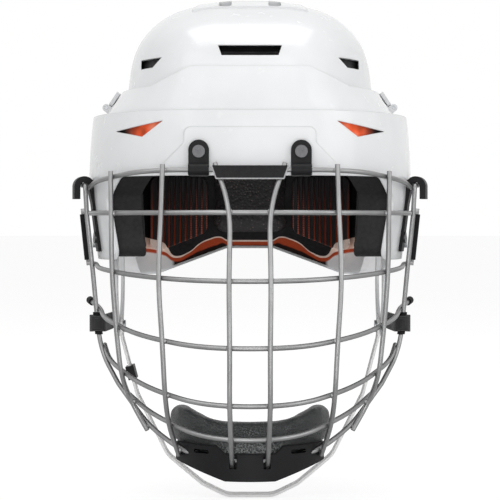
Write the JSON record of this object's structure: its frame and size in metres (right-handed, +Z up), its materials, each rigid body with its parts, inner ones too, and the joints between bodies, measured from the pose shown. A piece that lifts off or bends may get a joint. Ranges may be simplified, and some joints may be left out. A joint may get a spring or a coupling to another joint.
{
  "type": "ice hockey helmet with wire cage",
  "caption": "White ice hockey helmet with a sliding two-part shell, hinged grey wire face cage, padded chin cup, ear guards and chin strap.",
  "frame": {"origin": "middle of the head space, at the height of the brow edge", "axes": "-Y is the front (the face side), +Z up, +X the viewer's right as seen from the front"},
  "size_m": [0.229, 0.3103, 0.3282],
  "materials": {
    "white_shell": "gloss",
    "white_plastic": "satin",
    "dark_foam": "matte foam",
    "red_foam": "matte foam",
    "black_pad": "matte",
    "grey_wire": "satin",
    "black_plastic": "satin",
    "screw_steel": "satin",
    "chin_foam": "grained",
    "white_webbing": "woven",
    "black_webbing": "woven"
  },
  "bodies": {
    "front": {"front_shell": "white_shell", "front_liner": "dark_foam", "forehead_pad": "black_pad", "front_crown_pad": "black_pad", "temple_pad_left": "black_pad", "temple_pad_right": "black_pad", "forehead_clip_left": "black_plastic", "forehead_clip_right": "black_plastic", "corner_hook_left": "black_plastic", "corner_hook_right": "black_plastic", "ear_guard_left": "white_plastic", "ear_guard_right": "white_plastic", "shell_screws": "screw_steel", "tee_nuts": "screw_steel", "ear_guard_screws": "screw_steel", "snap_posts": "screw_steel", "strap_rivets": "screw_steel", "latch_pins": "screw_steel", "latch_base_left": "white_plastic", "latch_base_right": "white_plastic"},
    "rear": {"rear_shell": "white_shell", "rear_liner": "red_foam", "rear_crown_pad": "black_pad", "rear_centre_pad": "black_pad", "occipital_pad_left": "black_pad", "occipital_pad_right": "black_pad"},
    "cage": {"cage_row_1": "grey_wire", "cage_row_2": "grey_wire", "cage_row_3": "grey_wire", "cage_row_4": "grey_wire", "cage_row_5": "grey_wire", "cage_row_6": "grey_wire", "cage_rim": "grey_wire", "cage_uprights_inner": "grey_wire", "cage_uprights_middle": "grey_wire", "cage_uprights_outer": "grey_wire", "rear_posts": "grey_wire", "post_sleeves": "black_plastic", "corner_sleeves": "black_plastic", "wire_caps": "black_plastic", "nameplate": "black_plastic", "chin_cup_holder": "black_plastic", "chin_cup_foam": "chin_foam"},
    "cage_strap_left": {"cage_strap_left": "black_webbing", "snap_cap_left": "screw_steel"},
    "cage_strap_right": {"cage_strap_right": "black_webbing", "snap_cap_right": "screw_steel"},
    "chin_strap": {"chin_strap": "white_webbing", "strap_keeper": "black_plastic"},
    "latch_left": {"latch_lever_left": "white_plastic"},
    "latch_right": {"latch_lever_right": "white_plastic"}
  },
  "joints": [
    {"name": "size_slide", "type": "slide", "parent": "front", "child": "rear", "axis": [0, 1, 0], "range_m": [0, 0.02]},
    {"name": "cage_swing", "type": "hinge", "parent": "front", "child": "cage", "pos_m": [0, -0.12698, 0.0042], "axis": [-1, 0, 0], "range_deg": [0, 110]},
    {"name": "cage_strap_left_turn", "type": "hinge", "parent": "cage", "child": "cage_strap_left", "pos_m": [-0.0972, -0.05922, -0.0916], "axis": [0, 0, 1], "range_deg": [0, 80]},
    {"name": "cage_strap_right_turn", "type": "hinge", "parent": "cage", "child": "cage_strap_right", "pos_m": [0.0972, -0.05922, -0.0916], "axis": [0, 0, -1], "range_deg": [0, 80]},
    {"name": "chin_strap_swing", "type": "hinge", "parent": "front", "child": "chin_strap", "pos_m": [0, -0.012, -0.096], "axis": [1, 0, 0], "range_deg": [-35, 60]},
    {"name": "latch_left_lift", "type": "hinge", "parent": "front", "child": "latch_left", "pos_m": [-0.0954, 0.002, 0.0488], "axis": [0, -1, 0], "range_deg": [0, 75]},
    {"name": "latch_right_lift", "type": "hinge", "parent": "front", "child": "latch_right", "pos_m": [0.0954, 0.002, 0.0488], "axis": [0, 1, 0], "range_deg": [0, 75]}
  ]
}
